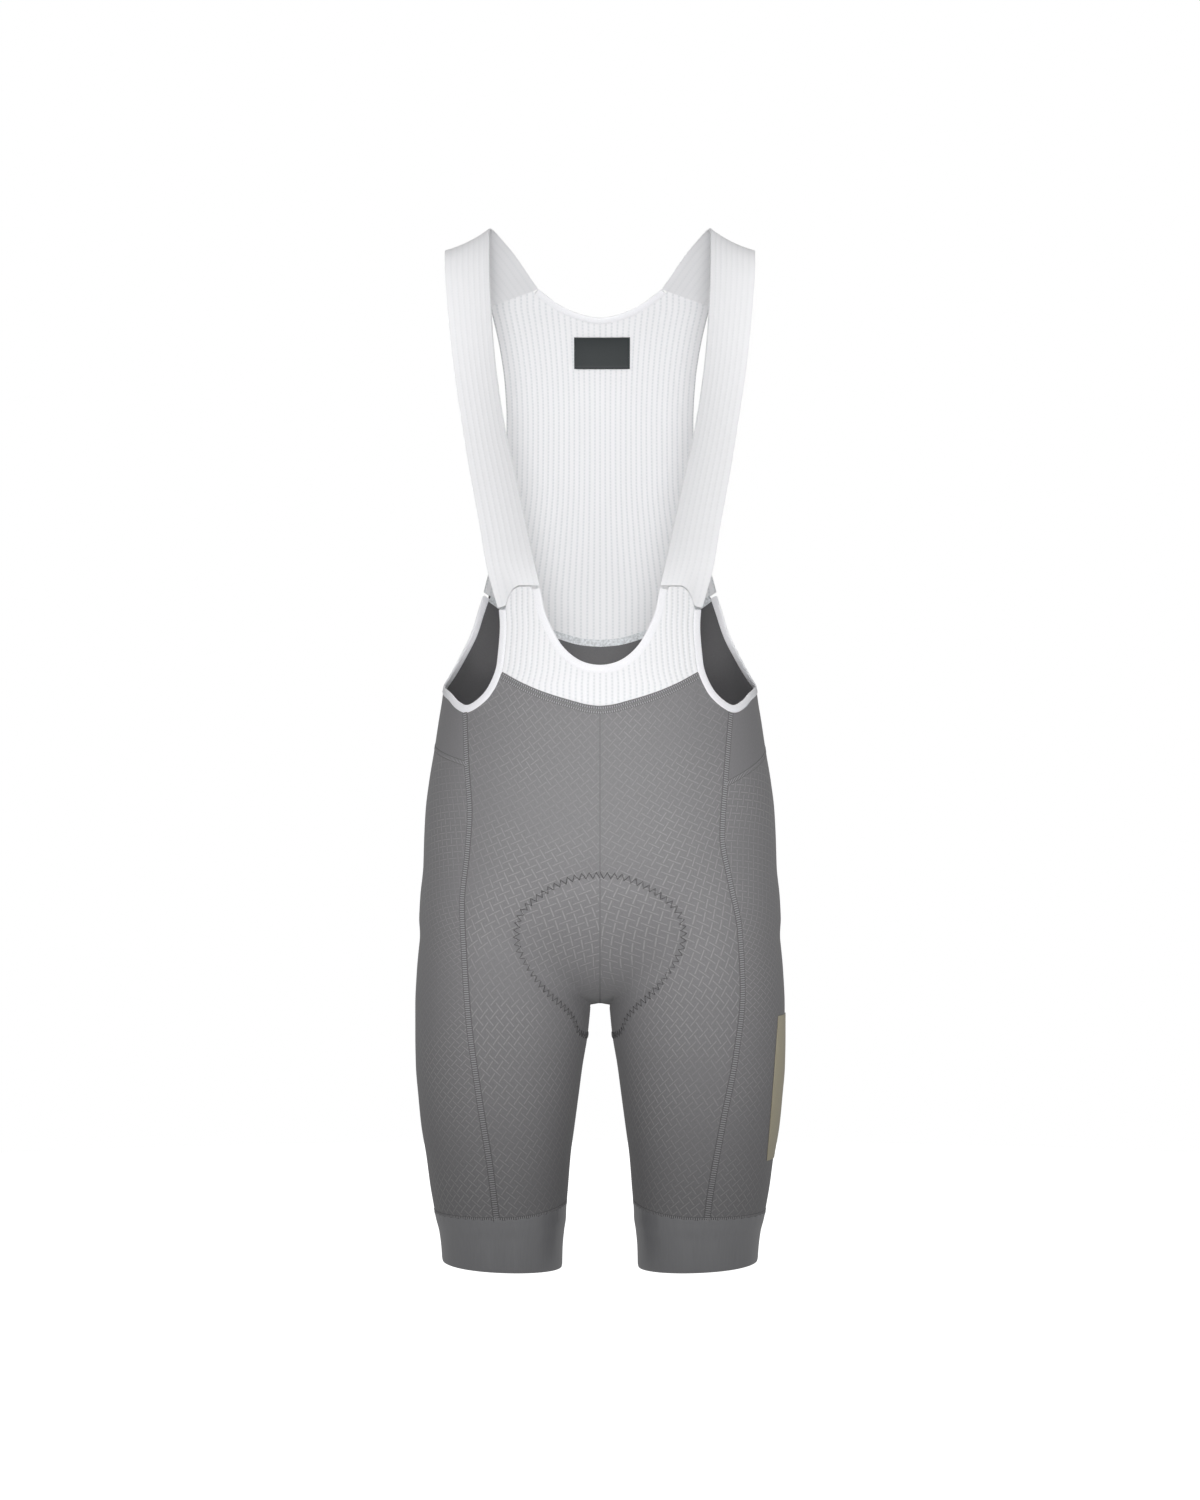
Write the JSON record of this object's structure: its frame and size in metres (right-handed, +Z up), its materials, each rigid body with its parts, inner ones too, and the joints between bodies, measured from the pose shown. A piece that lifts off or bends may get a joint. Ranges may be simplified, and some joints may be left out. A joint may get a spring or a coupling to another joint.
{
  "type": "cycling bib shorts",
  "caption": "Thigh-length stretch cycling shorts with mesh bib, shoulder straps, leg grippers and seat pad, filled out as worn.",
  "frame": {"origin": "midway between the tops of the two shoulder straps, at the height where the wearer's shoulders carry them", "axes": "+Z up, +Y towards the back, +X towards the wearer's left"},
  "size_m": [0.3334, 0.239, 0.9324],
  "materials": {
    "knit_cloth": "matte warp knit with a woven-in lattice",
    "rib_mesh": "white ribbed knit mesh",
    "binding": "smooth white elastic binding",
    "gripper_band": "smooth satin elastic",
    "pad_foam": "matte faced foam",
    "label_tape": "smooth satin tape",
    "reflective_film": "beige reflective film"
  },
  "bodies": {
    "root": {"front_panel_right": "knit_cloth", "back_panel_right": "knit_cloth", "strap_right": "rib_mesh", "armhole_binding_right": "binding", "leg_gripper_right": "gripper_band", "front_panel_left": "knit_cloth", "back_panel_left": "knit_cloth", "strap_left": "rib_mesh", "armhole_binding_left": "binding", "leg_gripper_left": "gripper_band", "back_yoke": "knit_cloth", "bib_front": "rib_mesh", "bib_back": "rib_mesh", "neck_binding": "binding", "back_neck_hem": "rib_mesh", "chamois_pad": "pad_foam", "neck_label": "label_tape", "leg_patch": "reflective_film"}
  },
  "joints": []
}
